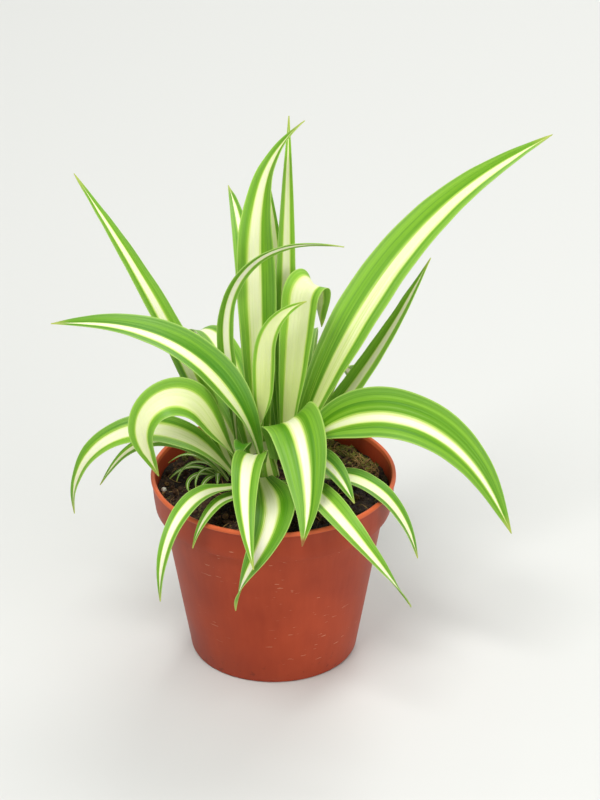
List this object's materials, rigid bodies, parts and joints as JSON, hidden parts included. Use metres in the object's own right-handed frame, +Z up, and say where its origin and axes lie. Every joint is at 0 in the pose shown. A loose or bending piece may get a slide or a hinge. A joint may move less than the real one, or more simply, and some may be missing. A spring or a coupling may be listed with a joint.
{
  "type": "potted spider plant",
  "caption": "Young spider plant with arching green leaves striped cream, growing from dark peat soil in a round terracotta-coloured plastic pot.",
  "frame": {"origin": "middle of the pot's underside, on the surface it stands on", "axes": "+Z up through the pot's mouth, +Y away from the side that the picture shows, +X to the right as that side is seen"},
  "size_m": [0.2488, 0.2119, 0.267],
  "materials": {
    "pot": "terracotta-coloured plastic, slight gloss",
    "soil": "dark damp peat compost, rough",
    "crown": "pale green leaf base, satin",
    "leaf": "mid green with a cream stripe down the middle, satin"
  },
  "bodies": {
    "root": {"pot": "pot", "soil": "soil", "crown": "crown", "plantlet": "leaf", "leaf_tall_left": "leaf", "leaf_tall_slim": "leaf", "leaf_tall_back": "leaf", "leaf_long_right": "leaf", "leaf_bent_middle": "leaf", "leaf_small_inner": "leaf", "leaf_slim_arching": "leaf", "leaf_left_arch": "leaf", "leaf_left_high": "leaf", "leaf_left_folded": "leaf", "leaf_left_low": "leaf", "leaf_left_under": "leaf", "leaf_front_left": "leaf", "leaf_front_left_short": "leaf", "leaf_front_slim": "leaf", "leaf_front_turning": "leaf", "leaf_front_broad": "leaf", "leaf_front_right": "leaf", "leaf_front_right_short": "leaf", "leaf_right_low": "leaf", "leaf_right_arch": "leaf", "leaf_right_slim": "leaf", "leaf_back_right_low": "leaf", "leaf_back_middle_low": "leaf", "leaf_back_left_low": "leaf", "leaf_back_right": "leaf", "leaf_back_left": "leaf", "leaf_back_steep": "leaf"}
  },
  "joints": []
}
